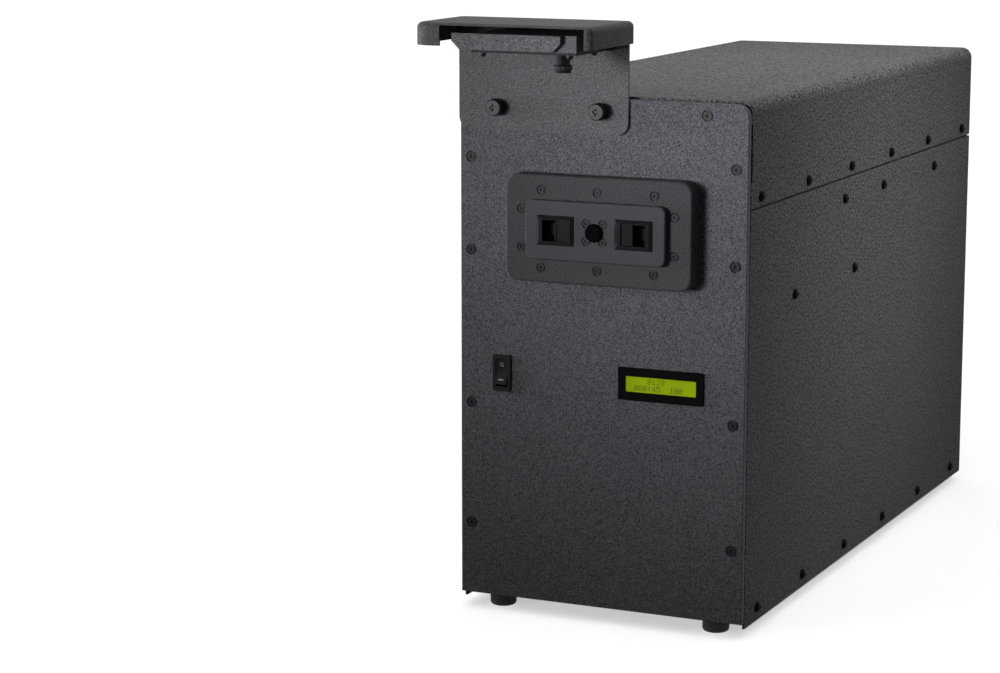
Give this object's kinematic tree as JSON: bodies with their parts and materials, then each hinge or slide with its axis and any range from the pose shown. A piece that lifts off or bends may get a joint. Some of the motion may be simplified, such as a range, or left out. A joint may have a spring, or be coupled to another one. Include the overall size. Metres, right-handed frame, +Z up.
{
  "type": "hard drive degausser",
  "caption": "Free-standing cabinet with a pulse coil round a sliding media drawer with slide latches, a small display, a rocker switch and a camera hood over the drawer.",
  "frame": {"origin": "on the floor under the middle of the whole machine's outline, in the plane of the feet's undersides", "axes": "+X to the right of someone who faces the front, +Y towards the back, +Z up; the front panel faces -Y"},
  "size_m": [0.2668, 0.7568, 0.515],
  "materials": {
    "panel_paint": "fine-grain grey powder coat",
    "cabinet_paint": "fine-grain dark grey powder coat",
    "mouth_paint": "fine-grain charcoal powder coat",
    "bracket_paint": "fine-grain grey powder coat",
    "black_screw": "black oxide",
    "dark_screw": "dark zinc",
    "steel": "bare steel",
    "aluminium": "bare aluminium",
    "rubber": "black rubber",
    "black_plastic": "matte black",
    "latch_plastic": "satin black",
    "display_green": "yellow-green backlit display",
    "board_green": "solder mask",
    "former_plastic": "laminate",
    "copper": "enamelled copper",
    "core_iron": "varnished laminations",
    "can_metal": "sleeved aluminium can",
    "ceramic": "glazed ceramic",
    "glide_strip": "white glide tape"
  },
  "bodies": {
    "cabinet": {"base_pan": "cabinet_paint", "left_side_panel": "cabinet_paint", "right_side_panel": "cabinet_paint", "top_cover": "cabinet_paint", "front_panel": "panel_paint", "rear_panel": "cabinet_paint", "frame_angles": "steel", "side_rails": "steel", "rubber_feet": "rubber", "foot_screws": "black_screw", "front_panel_screws": "dark_screw", "cover_screws": "black_screw", "base_screws": "black_screw", "side_bracket_screws": "black_screw", "rear_panel_screws": "black_screw", "mouth_frame": "mouth_paint", "mouth_frame_screws": "black_screw", "drawer_tunnel": "former_plastic", "slide_strips": "glide_strip", "interlock_switch": "black_plastic", "coil_bobbin": "former_plastic", "coil_winding": "copper", "coil_crossbars": "aluminium", "capacitors": "can_metal", "capacitor_rack": "former_plastic", "bus_bars": "copper", "transformer_core": "core_iron", "transformer_winding": "copper", "thyristor_heatsink": "aluminium", "discharge_thyristor": "ceramic", "control_board": "board_green", "display_bezel": "black_plastic", "display_glass": "display_green", "display_board": "board_green", "switch_housing": "black_plastic", "fan_frame": "black_plastic", "fan_guard": "steel", "power_inlet": "black_plastic", "inlet_pins": "steel", "camera_bracket": "bracket_paint", "camera_hood": "bracket_paint", "camera_housing": "bracket_paint", "nameplate": "bracket_paint", "camera_base_plate": "black_plastic", "camera_plate_screws": "black_screw", "camera_lens": "black_plastic"},
    "drawer": {"drawer_front": "mouth_paint", "drawer_tray": "aluminium", "centre_bush": "latch_plastic", "bush_screws": "black_screw", "left_latch_housing": "latch_plastic", "right_latch_housing": "latch_plastic"},
    "left_latch": {"left_latch_slider": "latch_plastic"},
    "right_latch": {"right_latch_slider": "latch_plastic"},
    "rocker": {"power_rocker": "latch_plastic"},
    "left_thumb": {"left_thumbscrew": "dark_screw"},
    "right_thumb": {"right_thumbscrew": "dark_screw"},
    "fan": {"fan_rotor": "black_plastic"},
    "focus": {"focus_ring": "black_plastic"}
  },
  "joints": [
    {"name": "drawer_slide", "type": "slide", "parent": "cabinet", "child": "drawer", "axis": [0, -1, 0], "range_m": [0, 0.285]},
    {"name": "left_latch_slide", "type": "slide", "parent": "drawer", "child": "left_latch", "axis": [-1, 0, 0], "range_m": [0, 0.007]},
    {"name": "right_latch_slide", "type": "slide", "parent": "drawer", "child": "right_latch", "axis": [1, 0, 0], "range_m": [0, 0.007]},
    {"name": "power_rocker_tilt", "type": "hinge", "parent": "cabinet", "child": "rocker", "pos_m": [-0.0908, -0.2874, 0.2112], "axis": [1, 0, 0], "range_deg": [0, 18]},
    {"name": "left_thumbscrew_turn", "type": "hinge", "parent": "cabinet", "child": "left_thumb", "pos_m": [-0.094, -0.2929, 0.4398], "axis": [0, -1, 0], "continuous": true},
    {"name": "right_thumbscrew_turn", "type": "hinge", "parent": "cabinet", "child": "right_thumb", "pos_m": [0, -0.2929, 0.4398], "axis": [0, -1, 0], "continuous": true},
    {"name": "fan_spin", "type": "hinge", "parent": "cabinet", "child": "fan", "pos_m": [0.058, 0.3626, 0.39], "axis": [0, 1, 0], "continuous": true},
    {"name": "focus_turn", "type": "hinge", "parent": "cabinet", "child": "focus", "pos_m": [-0.009, -0.3504, 0.4798], "axis": [0, 0, 1], "range_deg": [-60, 60]}
  ]
}
